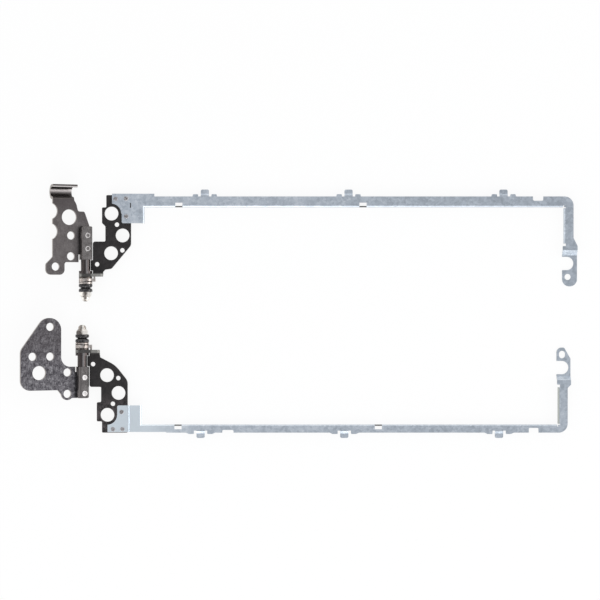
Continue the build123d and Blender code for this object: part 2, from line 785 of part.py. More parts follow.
def rail(hand, strip, pad, pad_slots, windows, notches, clips, arm, hook, hook_cuts, boss, rivets):
    """Long folded rail: pad on the display bracket, flanged strip with clips, far arm and screw hook."""
    edge, rail_width, stub_end, joggle_run = strip
    clip_spots, ear_size, clip_notch, clip_root, clip_length = clips
    pad_corner, pad_edge, pad_near, pad_far, pad_right = pad
    arm_outer, arm_flange_end, hook_start, hook_run = arm
    face = edge - rail_width
    inner = face + flange_radius
    arm_face = arm_outer - arm_width
    arm_inner = arm_face + flange_radius
    pad_inner = pad_right - flange_radius
    joggle = plate_right + pad_gap
    hook_low = rail_sheet / 2
    hook_end = min(s for _, s, _ in hook)
    lengthwise = (
        (pad_corner - rail_sheet, pad_middle),
        (joggle, pad_middle),
        (joggle + joggle_run, rail_middle),
        (arm_inner + rail_sheet, rail_middle),
    )
    crosswise = (
        (edge + rail_sheet, rail_middle),
        (hook_start, rail_middle),
        (hook_start - hook_run, hook_low),
        (hook_end - rail_sheet, hook_low),
    )
    arm_near = min(u for u, _, _ in hook) - rail_sheet
    arm_far = max(u for u, _, _ in hook) + rail_sheet
    boss_u, boss_s = boss
    bend = flange_radius - rail_sheet / 2
    tabs = [clip_tab(hand, u, edge, clip_notch, clip_root, clip_length) for u in clip_spots]
    notch_reach = clip_ear_spacing - clip_ear_width / 2
    with BuildPart() as folded:
        far = max(edge, pad_far) + ear_size[0] + rail_sheet
        sheet = bent_sheet(rail_side(hand, far), lengthwise, joggle_bend, rail_sheet)
        extrude(sheet, amount=towards_head(hand, pad_near - rail_sheet - far))
        crossing = bent_sheet(rail_end(hand, arm_near), crosswise, joggle_bend, rail_sheet)
        extrude(crossing, amount=hand * (arm_far - arm_near))
        with BuildSketch(Plane.XY) as blank:
            patch(hand, (pad_corner, pad_inner), (boss_s, pad_far))
            patch(hand, (pad_edge, pad_inner), (pad_near, boss_s))
            patch(hand, (pad_inner, stub_end), (inner, pad_far))
            patch(hand, (stub_end, arm_outer), (inner, edge))
            patch(hand, (arm_inner, arm_outer), (hook_start, edge))
            patch(hand, (arm_face, arm_inner), (face, inner))
            outer_corner = blank.vertices().sort_by_distance(spot(hand, arm_outer, edge))[0]
            fillet(outer_corner, rail_corner)
            near_corner = blank.vertices().sort_by_distance(spot(hand, pad_edge, pad_near))[0]
            fillet(near_corner, clip_round)
            for u in clip_spots:
                for outward in (-1, 1):
                    for tip in clip_ear(hand, u + outward * clip_ear_spacing, outward, edge, ear_size):
                        fillet(blank.vertices().sort_by_distance(tip)[0], clip_ear_round)
                if clip_notch > 0:
                    ends = (u - notch_reach, u + notch_reach)
                    patch(hand, ends, (edge - clip_notch, edge + rail_sheet), mode=Mode.SUBTRACT)
            for u, length, depth in notches:
                with Locations(spot(hand, u, edge)):
                    RectangleRounded(length, 2 * depth, notch_round, mode=Mode.SUBTRACT)
            with BuildLine():
                corners = [spot(hand, u, s) for u, s, _ in hook]
                FilletPolyline(*corners, radius=[r for _, _, r in hook], close=True)
            make_face()
            holes([spot(hand, boss_u, boss_s)], boss_hole + 2 * boss_land)
            holes([spot(hand, u, s) for u, s in rivets], rail_rivet_shank)
            for u, s in pad_slots:
                with Locations(spot(hand, u, s)):
                    Rectangle(pad_slot_width, pad_slot_length, mode=Mode.SUBTRACT)
            add(hook_cuts, mode=Mode.SUBTRACT)
        extrude(amount=plate_top + 2 * rail_sheet, mode=Mode.INTERSECT)
        for tab in tabs:
            add(tab)
        middle = face + rail_sheet / 2
        rail_leg = ((inner + rail_sheet, rail_middle), (middle, rail_middle), (middle, 0))
        along = bent_sheet(rail_end(hand, pad_inner), rail_leg, (bend,), rail_sheet)
        extrude(along, amount=hand * (arm_face - corner_relief - pad_inner))
        middle = arm_face + rail_sheet / 2
        arm_leg = ((arm_inner + rail_sheet, rail_middle), (middle, rail_middle), (middle, 0))
        down = bent_sheet(rail_side(hand, arm_flange_end), arm_leg, (bend,), rail_sheet)
        extrude(down, amount=towards_head(hand, face - corner_relief - arm_flange_end))
        middle = pad_right - rail_sheet / 2
        pad_leg = ((pad_inner - rail_sheet, rail_middle), (middle, rail_middle), (middle, 0))
        beside = bent_sheet(rail_side(hand, pad_near), pad_leg, (bend,), rail_sheet)
        extrude(beside, amount=towards_head(hand, inner - pad_near))
        with BuildSketch(Plane.XY.offset(window_sill)):
            for u in windows:
                ends = (u - window_length / 2, u + window_length / 2)
                patch(hand, ends, (face - rail_sheet, face + window_width))
        extrude(amount=flange_height, mode=Mode.SUBTRACT)
    return folded.part


def left_hook():
    """Outline of the left rail's screw hook, with the rounding of each corner."""
    inner = left_arm_outer - arm_width + flange_radius
    return (
        (inner, left_hook_shoulder + left_hook_step, 0),
        (left_arm_outer, left_hook_shoulder + 2 * left_hook_step, 0),
        (left_hook_outer, left_hook_shoulder, clip_round),
        (left_hook_outer, left_hook_end, left_hook_round),
        (left_hook_inner, left_hook_end, left_hook_round),
        (left_hook_inner, left_hook_shoulder, clip_ear_round),
        (inner, left_hook_shoulder, 0),
    )


def right_hook():
    """Outline of the right rail's screw hook, which tapers at its end."""
    inner = right_arm_outer - arm_width + flange_radius
    return (
        (inner, right_hook_shoulder + right_hook_step, 0),
        (right_arm_outer, right_hook_shoulder + right_hook_step, 0),
        (right_hook_outer, right_hook_shoulder, clip_ear_round),
        (right_hook_outer, right_hook_taper_start, clip_round),
        (right_hook_outer - right_hook_taper, right_hook_end, clip_round),
        (right_hook_inner, right_hook_end, right_hook_round),
        (right_hook_inner, right_hook_shoulder, clip_ear_round),
        (inner, right_hook_shoulder, 0),
    )


def hook_cuts(hand, inner, slot, slot_depth, hole, hole_length):
    """Open slot and screw hole of a hook, as they are punched through it."""
    end = inner + slot_depth - hook_slot_radius
    with BuildSketch(Plane.XY) as cuts:
        patch(hand, (inner - rail_sheet, end), (slot - hook_slot_radius, slot + hook_slot_radius))
        with Locations(spot(hand, end, slot)):
            Circle(hook_slot_radius)
        with Locations(spot(hand, inner + hook_hole_inset, hole)):
            if hole_length > hook_hole:
                SlotOverall(hole_length, hook_hole, rotation=90)
            else:
                Circle(hook_hole / 2)
    return cuts.sketch


left_plate = plate_outline(
    left_plate_far,
    left_plate_tab,
    left_plate_step,
    left_step_slope,
    left_plate_notch,
    left_notch_start,
    left_notch_end,
    left_step_end,
    left_front,
    left_front_end,
    left_front_round,
)
right_plate = plate_outline(
    right_plate_far,
    right_plate_tab,
    right_plate_step,
    right_step_slope,
    right_plate_notch,
    right_notch_start,
    right_notch_end,
    right_step_end,
    right_front,
    right_front_end,
    right_front_round,
)
left_strip = (left_rail_edge, left_rail_width, left_stub_end, left_joggle_run)
right_strip = (right_rail_edge, right_rail_width, right_stub_end, right_joggle_run)
left_clips = (left_clip_spots, left_clip_ear, left_clip_notch, left_clip_root, left_clip_length)
right_clips = (right_clip_spots, right_clip_ear, right_clip_notch, right_clip_root, right_clip_length)
left_pad = (left_pad_corner, left_pad_edge, left_pad_near, left_pad_far, left_pad_right)
right_pad = (right_pad_corner, right_pad_edge, right_pad_near, right_pad_far, right_pad_right)
left_arm = (left_arm_outer, left_arm_flange_end, left_hook_start, left_hook_run)
right_arm = (right_arm_outer, right_arm_flange_end, right_hook_start, right_hook_run)
left_cuts = hook_cuts(LEFT, left_hook_inner, left_hook_slot, left_hook_slot_depth, left_hook_hole, hook_hole)
right_cuts = hook_cuts(
    RIGHT, right_hook_inner, right_hook_slot, right_hook_slot_depth, right_hook_hole, hook_oval
)
left_boss = row(left_hole_start, 0, boss_row)[0]
right_boss = row(right_hole_start, right_hole_inset, boss_row)[0]

pieces = {
    "left_base_bracket": left_base_bracket(),
    "right_base_bracket": right_base_bracket(),
    "left_display_bracket": display_bracket(LEFT, left_plate, left_hole_start, 0, left_rail_rivets),
    "right_display_bracket": display_bracket(
        RIGHT, right_plate, right_hole_start, right_hole_inset, right_rail_rivets
    ),
    "left_rail": rail(
        LEFT,
        left_strip,
        left_pad,
        (left_pad_slot,),
        left_windows,
        left_notches,
        left_clips,
        left_arm,
        left_hook(),
        left_cuts,
        left_boss,
        left_rail_rivets,
    ),
    "right_rail": rail(
        RIGHT,
        right_strip,
        right_pad,
        (),
        right_windows,
        right_notches,
        right_clips,
        right_arm,
        right_hook(),
        right_cuts,
        right_boss,
        right_rail_rivets,
    ),
    "left_rail_rivets": rail_rivets(LEFT, left_rail_rivets),
    "right_rail_rivets": rail_rivets(RIGHT, right_rail_rivets),
    "left_shaft_rivets": shaft_rivets(LEFT, left_head_top, left_rivet_offset, left_shaft_rivets),
    "right_shaft_rivets": shaft_rivets(RIGHT, right_head_top, right_rivet_offset, right_shaft_rivets),
}
pieces["left_shaft"] = shaft(LEFT, left_head_end, left_head_top, left_rivet_offset, left_shaft_rivets)
pieces["right_shaft"] = shaft(RIGHT, right_head_end, right_head_top, right_rivet_offset, right_shaft_rivets)
for side, hand in (("left", LEFT), ("right", RIGHT)):
    pieces[side + "_friction_washer"] = friction_washer(hand)
    pieces[side + "_tabbed_washer"] = tabbed_washer(hand)
    pieces[side + "_keyed_washer"] = keyed_washer(hand)
    pieces[side + "_disc_spring_inner"] = disc_spring(hand, TO_HEAD)
    pieces[side + "_disc_spring_outer"] = disc_spring(hand, TO_NUT)
    pieces[side + "_nut"] = nut(hand)

# The pair's own frame stands at the middle of its underside
extent = Compound(list(pieces.values())).bounding_box()
to_frame = Location((-extent.center().X, -extent.center().Y, -extent.min.Z))

os.makedirs("parts", exist_ok=True)
for name, piece in pieces.items():
    placed = piece.moved(to_frame)
    placed.label = name
    export_step(placed, "parts/" + name + ".step")
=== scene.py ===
import json
import math

import bpy
import numpy as np
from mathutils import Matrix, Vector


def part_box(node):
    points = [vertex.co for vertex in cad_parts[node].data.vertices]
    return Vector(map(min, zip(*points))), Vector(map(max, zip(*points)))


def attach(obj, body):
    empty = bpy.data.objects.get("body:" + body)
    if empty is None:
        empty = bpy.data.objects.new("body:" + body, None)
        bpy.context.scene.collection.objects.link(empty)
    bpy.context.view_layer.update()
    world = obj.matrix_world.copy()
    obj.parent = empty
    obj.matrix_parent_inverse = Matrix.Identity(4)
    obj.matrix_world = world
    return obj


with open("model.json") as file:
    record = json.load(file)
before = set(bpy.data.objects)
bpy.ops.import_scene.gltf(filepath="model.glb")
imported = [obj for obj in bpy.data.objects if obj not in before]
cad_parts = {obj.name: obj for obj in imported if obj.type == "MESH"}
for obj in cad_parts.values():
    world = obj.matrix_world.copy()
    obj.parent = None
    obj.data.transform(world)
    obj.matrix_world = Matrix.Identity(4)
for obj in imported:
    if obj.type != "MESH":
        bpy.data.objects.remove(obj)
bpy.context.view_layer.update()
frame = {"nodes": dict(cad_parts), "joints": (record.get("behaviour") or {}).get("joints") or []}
MM = 0.001

# Base brackets: stamped from 1.2 mm steel sheet and plated a brownish grey, with paler sheared edges.
# The left one ends in a rolled cable gutter and is evenly plated, darker towards the gutter; inside the
# gutter the colour is painted highlight and painted shade that follow the turn of its wall. The right one
# is a broad plate whose plating is darker, mottled and rubbed along its length, and darker again towards
# the end of its lobe.
pivots = {joint["name"]: joint for joint in frame["joints"]}
lean = -math.radians(pivots["left_pivot"]["range_deg"][0])
base_normal = (math.sin(lean), 0.0, math.cos(lean))
base_along = (math.cos(lean), 0.0, -math.sin(lean))
gutter_width = 6.4 * MM
rim_width = 1.3 * MM
rim_outer_width = 0.65 * MM
gutter_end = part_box("left_base_bracket")[1].y
gutter_start = gutter_end - gutter_width
rim_start = gutter_end - rim_width
rim_outside = gutter_end - rim_outer_width
# Both base brackets are darker towards one end: the left towards its gutter, the right towards its lobe's
# end.
left_darkening_length = 14.0 * MM
left_darkening_strength = 0.65
left_darkening = (gutter_start - left_darkening_length, gutter_start, left_darkening_strength)
lobe_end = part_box("right_base_bracket")[1].y
right_darkening_length = 24.0 * MM
right_darkening_full = 10.0 * MM
right_darkening_strength = 0.42
right_darkening = (lobe_end - right_darkening_length, lobe_end - right_darkening_full, right_darkening_strength)
left_patch = 4.2 * MM
right_patch = 1.7 * MM
plating_grain = 0.55 * MM
left_plating_dark = (0.098, 0.088, 0.088, 1)
left_plating_grey = (0.134, 0.122, 0.122, 1)
left_plating_pale = (0.175, 0.162, 0.160, 1)
right_plating_dark = (0.046, 0.043, 0.050, 1)
right_plating_grey = (0.130, 0.124, 0.136, 1)
right_plating_pale = (0.290, 0.282, 0.298, 1)
plating_darkened = (0.070, 0.060, 0.062, 1)
plating_edge = (0.34, 0.31, 0.29, 1)
# Painted light inside the gutter: shadow, shade, half-lit grey and highlight, set by which way its wall
# faces.
roll_shadow = (0.016, 0.012, 0.012, 1)
roll_shade = (0.072, 0.062, 0.060, 1)
roll_half_lit = (0.17, 0.155, 0.152, 1)
roll_highlight = (0.58, 0.54, 0.53, 1)
rim_pale = (0.52, 0.49, 0.48, 1)


def add(tree, kind, **values):
    """A shader node of a kind, with its properties set by name."""
    made = tree.nodes.new("ShaderNode" + kind)
    for key, value in values.items():
        setattr(made, key, value)
    return made


def feed(tree, target, socket, value):
    """Give an input a number, a colour, a vector, or what a socket or a node's first output puts out."""
    if isinstance(value, bpy.types.Node):
        value = next(output for output in value.outputs if output.enabled)
    if isinstance(value, bpy.types.NodeSocket):
        tree.links.new(value, target.inputs[socket])
    else:
        target.inputs[socket].default_value = value


def calculate(tree, operation, first, second=0.0, clamp=False):
    """One Math node."""
    made = add(tree, "Math", operation=operation, use_clamp=clamp)
    feed(tree, made, 0, first)
    feed(tree, made, 1, second)
    return made


def times(tree, first, second):
    """A value scaled by another, or where two masks meet."""
    return calculate(tree, "MULTIPLY", first, second)


def either(tree, first, second):
    """Where one mask or the other is, the stronger of the two."""
    return calculate(tree, "MAXIMUM", first, second)


def above(tree, value, limit):
    """1 where a value is over a limit, otherwise 0."""
    return calculate(tree, "GREATER_THAN", value, limit)


def part_along(tree, vector, direction):
    """A vector's part along a direction, negative where it points the other way."""
    made = add(tree, "VectorMath", operation="DOT_PRODUCT")
    feed(tree, made, 0, vector)
    feed(tree, made, 1, direction)
    return made.outputs["Value"]


def along(tree, vector, direction):
    """A vector's part along a direction, without its sign."""
    return calculate(tree, "ABSOLUTE", part_along(tree, vector, direction))


def axes_of(tree, vector):
    """The X, Y and Z outputs of a vector."""
    made = add(tree, "SeparateXYZ")
    feed(tree, made, 0, vector)
    return made.outputs


def between(tree, value, start, full):
    """0 at start, 1 at full and smooth between them. Either may be the larger."""
    made = add(tree, "MapRange", interpolation_type="SMOOTHSTEP")
    feed(tree, made, "Value", value)
    feed(tree, made, "From Min", start)
    feed(tree, made, "From Max", full)
    return made


def spread(tree, value, low, high):
    """A 0 to 1 value spread from low to high."""
    made = add(tree, "MapRange")
    feed(tree, made, "Value", value)
    feed(tree, made, "To Min", low)
    feed(tree, made, "To Max", high)
    return made


def halved(tree, value):
    """A -1 to 1 value as 0 to 1."""
    return calculate(tree, "ADD", times(tree, value, 0.5), 0.5)


def choose(tree, mask, first, second):
    """The first value where the mask is 0, the second where it is 1."""
    made = add(tree, "Mix", data_type="FLOAT")
    feed(tree, made, 0, mask)
    feed(tree, made, 2, first)
    feed(tree, made, 3, second)
    return made.outputs[0]


def tint(tree, mask, first, second):
    """The first colour where the mask is 0, the second where it is 1."""
    made = add(tree, "Mix", data_type="RGBA")
    feed(tree, made, 0, mask)
    feed(tree, made, 6, first)
    feed(tree, made, 7, second)
    return made.outputs[2]


def ramp(tree, factor, *stops):
    """A Color Ramp of (position, colour) stops."""
    made = add(tree, "ValToRGB")
    while len(made.color_ramp.elements) < len(stops):
        made.color_ramp.elements.new(1)
    for element, (position, colour) in zip(made.color_ramp.elements, stops):
        element.position = position
        element.color = colour
    feed(tree, made, "Fac", factor)
    return made


def grains(tree, vector, size, detail):
    """Noise with grains of a size, in the vector's own unit."""
    made = add(tree, "TexNoise")
    feed(tree, made, "Vector", vector)
    per_unit = 1 / size if isinstance(size, float) else calculate(tree, "DIVIDE", 1, size)
    feed(tree, made, "Scale", per_unit)
    feed(tree, made, "Detail", detail)
    return made.outputs[0]


def stretched(tree, vector, scale):
    """Coordinates scaled apart along X, Y and Z."""
    made = add(tree, "Mapping")
    feed(tree, made, "Vector", vector)
    feed(tree, made, "Scale", scale)
    return made


def spot_of(tree):
    """Where each point of a surface lies on its piece."""
    return add(tree, "TexCoord").outputs["Object"]


def facing_of(tree):
    """Which way each point of a surface faces, on its piece."""
    return add(tree, "TexCoord").outputs["Normal"]


def new_group(name, inputs, outputs):
    """A shader node group with named value inputs and named value outputs."""
    tree = bpy.data.node_groups.new(name, "ShaderNodeTree")
    for label in inputs:
        tree.interface.new_socket(label, in_out="INPUT", socket_type="NodeSocketFloat")
    for label in outputs:
        tree.interface.new_socket(label, in_out="OUTPUT", socket_type="NodeSocketFloat")
    return tree, tree.nodes.new("NodeGroupInput"), tree.nodes.new("NodeGroupOutput")


def place(tree, group, **values):
    """A node group in a material, with its own values."""
    made = add(tree, "Group", node_tree=group)
    for label, value in values.items():
        feed(tree, made, label, value)
    return made


def new_finish(name):
    """A material with one Principled BSDF, its tree and that shader."""
    made = bpy.data.materials.new(name)
    made.use_nodes = True
    return made, made.node_tree, made.node_tree.nodes["Principled BSDF"]


def dress(tree, shader, colour, metallic, roughness):
    """Give a shader its colour, its share of bare metal and its roughness."""
    feed(tree, shader, "Base Color", colour)
    feed(tree, shader, "Metallic", metallic)
    feed(tree, shader, "Roughness", roughness)


def bump(tree, shader, height, strength, depth):
    """Raise a finish's surface by a height, at most depth in metres."""
    made = add(tree, "Bump")
    feed(tree, made, "Height", height)
    feed(tree, made, "Strength", strength)
    feed(tree, made, "Distance", depth)
    feed(tree, shader, "Normal", made)


def coat(finish, *names):
    """Give CAD nodes a finish."""
    for name in names:
        frame["nodes"][name].material_slots[0].material = finish


# Rubbed plating, shared by the brackets and shafts: patches, fine grain and streaks along Y, added up
streak_stretch = (1.6, 0.25, 1.6)
grain_share = 0.45
rubbed, taken, given = new_group("rubbed_plating", ("patch", "grain", "streak"), ("tone", "fine"))
spot = spot_of(rubbed)
patches = grains(rubbed, spot, taken.outputs["patch"], detail=3)
fine = grains(rubbed, spot, taken.outputs["grain"], detail=1)
streaks = grains(rubbed, stretched(rubbed, spot, streak_stretch), taken.outputs["grain"], detail=2)
streaks = times(rubbed, calculate(rubbed, "SUBTRACT", streaks, 0.5), taken.outputs["streak"])
mottle = choose(rubbed, grain_share, patches, fine)
feed(rubbed, given, "tone", calculate(rubbed, "ADD", mottle, streaks, clamp=True))
feed(rubbed, given, "fine", fine)

# Worn edge, shared by most finishes: where rounding an edge off would turn the surface, it is rubbed. The
# same edge mask also carries painted edge highlights, and on the shafts' heads a painted dark outline.
edge_wear_and_light_group, taken, given = new_group("worn_edge", ("width",), ("mask",))
rounded = add(edge_wear_and_light_group, "Bevel", samples=4)
feed(edge_wear_and_light_group, rounded, "Radius", taken.outputs["width"])
unturned = part_along(edge_wear_and_light_group, rounded.outputs[0], add(edge_wear_and_light_group, "NewGeometry").outputs["Normal"])
feed(edge_wear_and_light_group, given, "mask", between(edge_wear_and_light_group, unturned, start=0.985, full=0.86))


def edge_wear_and_light(tree, width, strength):
    """A mask along a finish's edges, for its own edge wear and painted edge light, as strong as given."""
    return times(tree, place(tree, edge_wear_and_light_group, width=width), strength)


def gutter_shading(tree, place_y, facing):
    """The rolled gutter from inside: painted highlight, painted shade and painted shadow that follow the
    turn of its wall, and its rim in two more: pale on its sheared top, with a painted dark line along its
    outer side.
    """
    roll_shading = ramp(
        tree,
        halved(tree, axes_of(tree, facing)["Y"]),
        (0.14, roll_shadow),
        (0.20, roll_highlight),
        (0.33, roll_highlight),
        (0.55, roll_half_lit),
        (0.80, roll_shade),
        (0.96, roll_shade),
        (1.00, roll_half_lit),
    )
    rim = tint(tree, above(tree, place_y, rim_outside), rim_pale, roll_shade)
    level = between(tree, along(tree, facing, base_normal), start=0.7, full=0.8)
    return tint(tree, times(tree, level, above(tree, place_y, rim_start)), roll_shading, rim)


def base_plating(name, tones, patch, streak, darkening_and_stain):
    """Plating in three tones, darker towards one end, bare on the sheared faces and rubbed along the
    edges; inside the gutter its colour is painted highlight and painted shade.
    """
    finish, tree, shader = new_finish(name)
    facing = facing_of(tree)
    place_y = axes_of(tree, spot_of(tree))["Y"]
    plating = place(tree, rubbed, patch=patch, grain=plating_grain, streak=streak)
    colour = ramp(tree, plating.outputs["tone"], *zip((0.32, 0.50, 0.68), tones))
    darkening_start, darkening_full, darkening_strength = darkening_and_stain
    darkened = times(tree, between(tree, place_y, darkening_start, darkening_full), darkening_strength)
    colour = tint(tree, darkened, colour, plating_darkened)
    in_gutter = above(tree, place_y, gutter_start)
    inside = between(tree, part_along(tree, facing, base_normal), start=0.0, full=0.2)
    colour = tint(tree, times(tree, inside, in_gutter), colour, gutter_shading(tree, place_y, facing))
    flat_shear = between(tree, along(tree, facing, base_normal), start=0.6, full=0.4)
    roll_shear = between(tree, along(tree, facing, base_along), start=0.6, full=0.8)
    sheared = choose(tree, in_gutter, flat_shear, roll_shear)
    bare = either(tree, sheared, edge_wear_and_light(tree, width=0.12 * MM, strength=0.5))
    colour = tint(tree, bare, colour, plating_edge)
    roughness = spread(tree, plating.outputs["fine"], low=0.28, high=0.46)
    dress(tree, shader, colour, metallic=0.9, roughness=roughness)
    bump(tree, shader, plating.outputs["fine"], strength=0.25, depth=0.02 * MM)
    return finish


left_tones = (left_plating_dark, left_plating_grey, left_plating_pale)
left_plating = base_plating("even_plating", left_tones, left_patch, streak=0.30, darkening_and_stain=left_darkening)
coat(left_plating, "left_base_bracket")
right_tones = (right_plating_dark, right_plating_grey, right_plating_pale)
right_plating = base_plating("mottled_plating", right_tones, right_patch, streak=0.45, darkening_and_stain=right_darkening)
coat(right_plating, "right_base_bracket")

# Shafts: one turned and milled steel piece each, blackened and oiled. Turning has left fine rings
# round the neck and journal, over which painted reflections run as streaks set by which way the surface
# faces.
# The milled flat of the head is paler and grained, with a painted dark outline along its edges and a
# painted shadow at the foot of its side wall, and the domed end beyond the nut is plated bright like the
# nut, with painted highlight and shade across it.
shaft_dark = (0.040, 0.032, 0.031, 1)
shaft_grey = (0.110, 0.096, 0.094, 1)
shaft_streak_highlight = (0.30, 0.285, 0.285, 1)
flat_dark = (0.100, 0.092, 0.091, 1)
flat_pale = (0.225, 0.213, 0.210, 1)
head_painted_shadow = (0.020, 0.016, 0.016, 1)
wall_grey = (0.150, 0.138, 0.136, 1)
dome_shade = (0.16, 0.14, 0.125, 1)
dome_half_lit = (0.40, 0.36, 0.325, 1)
dome_highlight = (0.90, 0.87, 0.82, 1)
turning_stretch = (0.02, 1, 0.02)
turning_pitch = 0.14 * MM
round_axis = (1, 0, 1)
streak_width = 0.38
wall_foot = -0.8 * MM
wall_top = -0.2 * MM
left_head_length = 14.8 * MM
right_head_length = 13.9 * MM
left_head_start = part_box("left_shaft")[1].y - left_head_length
right_head_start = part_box("right_shaft")[0].y + right_head_length
left_nut_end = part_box("left_nut")[0].y
right_nut_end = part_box("right_nut")[1].y
middle_line = (left_nut_end + right_nut_end) / 2
left_axis = pivots["left_pivot"]["pos_m"]
right_axis = pivots["right_pivot"]["pos_m"]


def below(tree, value, limit):
    """1 where a value is under a limit, otherwise 0."""
    return calculate(tree, "LESS_THAN", value, limit)


def within(tree, value, low, high):
    """1 where a value is over low and under high, otherwise 0."""
    return times(tree, above(tree, value, low), below(tree, value, high))


def height_of(point):
    """How high a point lies along the base brackets' normal."""
    return sum(part * way for part, way in zip(point, base_normal))


shaft_steel, tree, shader = new_finish("shaft_steel")
spot = spot_of(tree)
facing = facing_of(tree)
place_y = axes_of(tree, spot)["Y"]
on_left = above(tree, place_y, middle_line)
plating = place(tree, rubbed, patch=1.6 * MM, grain=0.3 * MM, streak=0.25)
# Painted reflections: streaks along the shaft, in tones set by which way the surface faces.
facing_streaks = grains(tree, stretched(tree, facing, round_axis), streak_width, detail=1)
reflection_streaks = ramp(tree, facing_streaks, (0.36, shaft_dark), (0.52, shaft_grey), (0.66, shaft_streak_highlight))
milled = ramp(tree, plating.outputs["tone"], (0.34, flat_dark), (0.64, flat_pale))
# Painted shade on the head: a painted shadow at the foot of its side wall, rising to its grey.
axis_height = choose(tree, on_left, height_of(right_axis), height_of(left_axis))
rise = calculate(tree, "SUBTRACT", part_along(tree, spot, base_normal), axis_height)
shaded_wall = tint(tree, between(tree, rise, wall_foot, wall_top), head_painted_shadow, wall_grey)
on_flat = between(tree, along(tree, facing, base_normal), start=0.90, full=0.97)
in_head = either(tree, above(tree, place_y, left_head_start), below(tree, place_y, right_head_start))
colour = tint(tree, in_head, reflection_streaks, tint(tree, on_flat, shaded_wall, milled))
# Painted dark outline along the head's edges.
head_edge_shade = times(tree, edge_wear_and_light(tree, width=0.30 * MM, strength=0.9), in_head)
colour = tint(tree, head_edge_shade, colour, head_painted_shadow)
# Painted highlight and shade across each dome, set by which way its surface faces from side to side.
to_right = halved(tree, axes_of(tree, facing)["X"])
right_dome_shading = ramp(tree, to_right, (0.15, dome_half_lit), (0.45, dome_shade), (0.62, dome_highlight), (0.80, dome_half_lit))
left_dome_shading = ramp(tree, to_right, (0.20, dome_highlight), (0.48, dome_shade), (0.60, dome_half_lit), (0.72, dome_highlight))
past_nut = within(tree, place_y, right_nut_end, left_nut_end)
colour = tint(tree, past_nut, colour, tint(tree, on_left, right_dome_shading, left_dome_shading))
roughness = spread(tree, plating.outputs["fine"], low=0.14, high=0.32)
dress(tree, shader, colour, metallic=0.95, roughness=roughness)
turning = grains(tree, stretched(tree, spot, turning_stretch), turning_pitch, detail=1)
bump(tree, shader, turning, strength=0.35, depth=0.02 * MM)
coat(shaft_steel, "left_shaft", "right_shaft")

# Threaded ends: a fine thread, rolled into the steel of each shaft's stub.
# A little of it stands out of the nut before the dome begins.
thread_pitch = 0.30 * MM
thread_depth = 0.06 * MM
thread_core = 1.72 * MM
thread_bore = 1.55 * MM
thread_length = 0.48 * MM
thread_sides = 96
thread_steps = 49
ridge_sharpness = 0.97
fade_rate = 12


def thread_ring(name, pivot, start, towards_end):
    """A ring whose outside is a helix: radius = core + depth * ridge(y / pitch - angle / turn).
    The ridge is a rounded triangle wave, and the ring closes along a plain bore inside the stub."""
    angle = np.linspace(0, 2 * np.pi, thread_sides, endpoint=False)[:, None]
    run = np.linspace(0, 1, thread_steps)[None, :]
    phase = run * thread_length / thread_pitch - angle / (2 * np.pi)
    ridge = 0.5 + np.arcsin(ridge_sharpness * np.sin(2 * np.pi * phase)) / np.pi
    fade = np.clip(np.minimum(run, 1 - run) * fade_rate, 0, 1)
    outside = thread_core + thread_depth * ridge * fade
    radius = np.concatenate([outside, np.full_like(outside, thread_bore)], axis=1)
    reach = np.concatenate([run, run[:, ::-1]], axis=1) * thread_length * np.ones_like(angle)
    x = pivot[0] + radius * np.cos(angle)
    y = start + towards_end * reach
    z = pivot[2] + radius * np.sin(angle)
    points = np.stack([x, y, z], axis=-1)
    rows, columns = points.shape[:2]
    index = np.arange(rows * columns).reshape(rows, columns)
    ahead = np.roll(index, -1, axis=0)
    corners = (index, np.roll(index, -1, axis=1), np.roll(ahead, -1, axis=1), ahead)
    faces = np.stack(corners[:: -int(towards_end)], axis=-1).reshape(-1, 4)
    mesh = bpy.data.meshes.new(name)
    mesh.from_pydata(points.reshape(-1, 3).tolist(), [], faces.tolist())
    mesh.shade_smooth()
    piece = bpy.data.objects.new(name, mesh)
    bpy.context.scene.collection.objects.link(piece)
    return piece


thread_ends = (("left", left_axis, left_nut_end, -1.0), ("right", right_axis, right_nut_end, 1.0))
for side, axis, nut_end, towards_end in thread_ends:
    thread = thread_ring(side + "_thread", axis, nut_end, towards_end)
    thread.data.materials.append(shaft_steel)
    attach(thread, side + "_base")

# Shaft rivets: two solid rivets through each head. The left pair is headed in grey steel like its shaft,
# the right pair is bright nickel, and both have the small dents that the heading tool left, and a painted
# highlight round each head's ring.
rivet_head_radius = 1.2 * MM
ring_start = 0.55 * rivet_head_radius
ring_full = 0.72 * rivet_head_radius
dent_size = 0.7 * MM
rivet_dull_low = (0.080, 0.074, 0.074, 1)
rivet_dull_high = (0.22, 0.208, 0.206, 1)
rivet_dull_ring_highlight = (0.58, 0.56, 0.55, 1)
rivet_bright_low = (0.56, 0.53, 0.52, 1)
rivet_bright_high = (0.84, 0.82, 0.81, 1)
rivet_bright_ring_highlight = (0.92, 0.90, 0.89, 1)


def from_rivet(tree, node):
    """Distance from the nearer axis of a pair of rivets, which stand square on a base bracket."""
    low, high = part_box(node)
    middle = (low + high) / 2
    half_pitch = (high.y - low.y) / 2 - rivet_head_radius
    reach = add(tree, "VectorMath", operation="SUBTRACT")
    feed(tree, reach, 0, spot_of(tree))
    feed(tree, reach, 1, middle)
    across = along(tree, reach.outputs[0], base_along)
    lengthwise = calculate(tree, "ABSOLUTE", axes_of(tree, reach.outputs[0])["Y"])
    lengthwise = calculate(tree, "SUBTRACT", lengthwise, half_pitch)
    squares = calculate(tree, "ADD", times(tree, lengthwise, lengthwise), times(tree, across, across))
    return calculate(tree, "SQRT", squares)


def head_ring(tree, node):
    """A mask of the ring that runs round each rivet's head, inside its edge."""
    return between(tree, from_rivet(tree, node), ring_start, ring_full)


